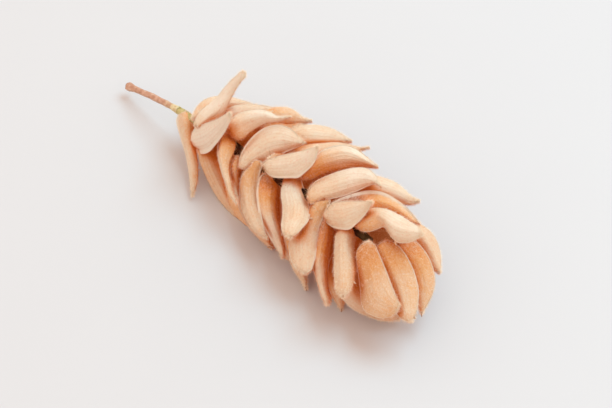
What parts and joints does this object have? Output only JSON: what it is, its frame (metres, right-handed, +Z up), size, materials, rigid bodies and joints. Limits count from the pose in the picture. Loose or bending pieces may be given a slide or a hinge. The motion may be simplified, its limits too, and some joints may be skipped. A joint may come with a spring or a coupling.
{
  "type": "hop hornbeam fruit",
  "caption": "Dried hop hornbeam fruit as picked: a hop-like cone of overlapping papery bladders on a slim stalk, lying on its side.",
  "frame": {"origin": "middle of the fruit's footprint, on the surface that it lies on", "axes": "+X along the cone, from the stalk to the free end; +Z up, away from the surface"},
  "size_m": [0.0683, 0.0218, 0.0193],
  "materials": {
    "papery_bladder": "dry, papery, peach to tan, finely veined and downy",
    "stalk_bark": "matte pinkish brown bark, greener beside the cone"
  },
  "bodies": {
    "root": {"bladders": "papery_bladder", "stalk": "stalk_bark"}
  },
  "joints": []
}
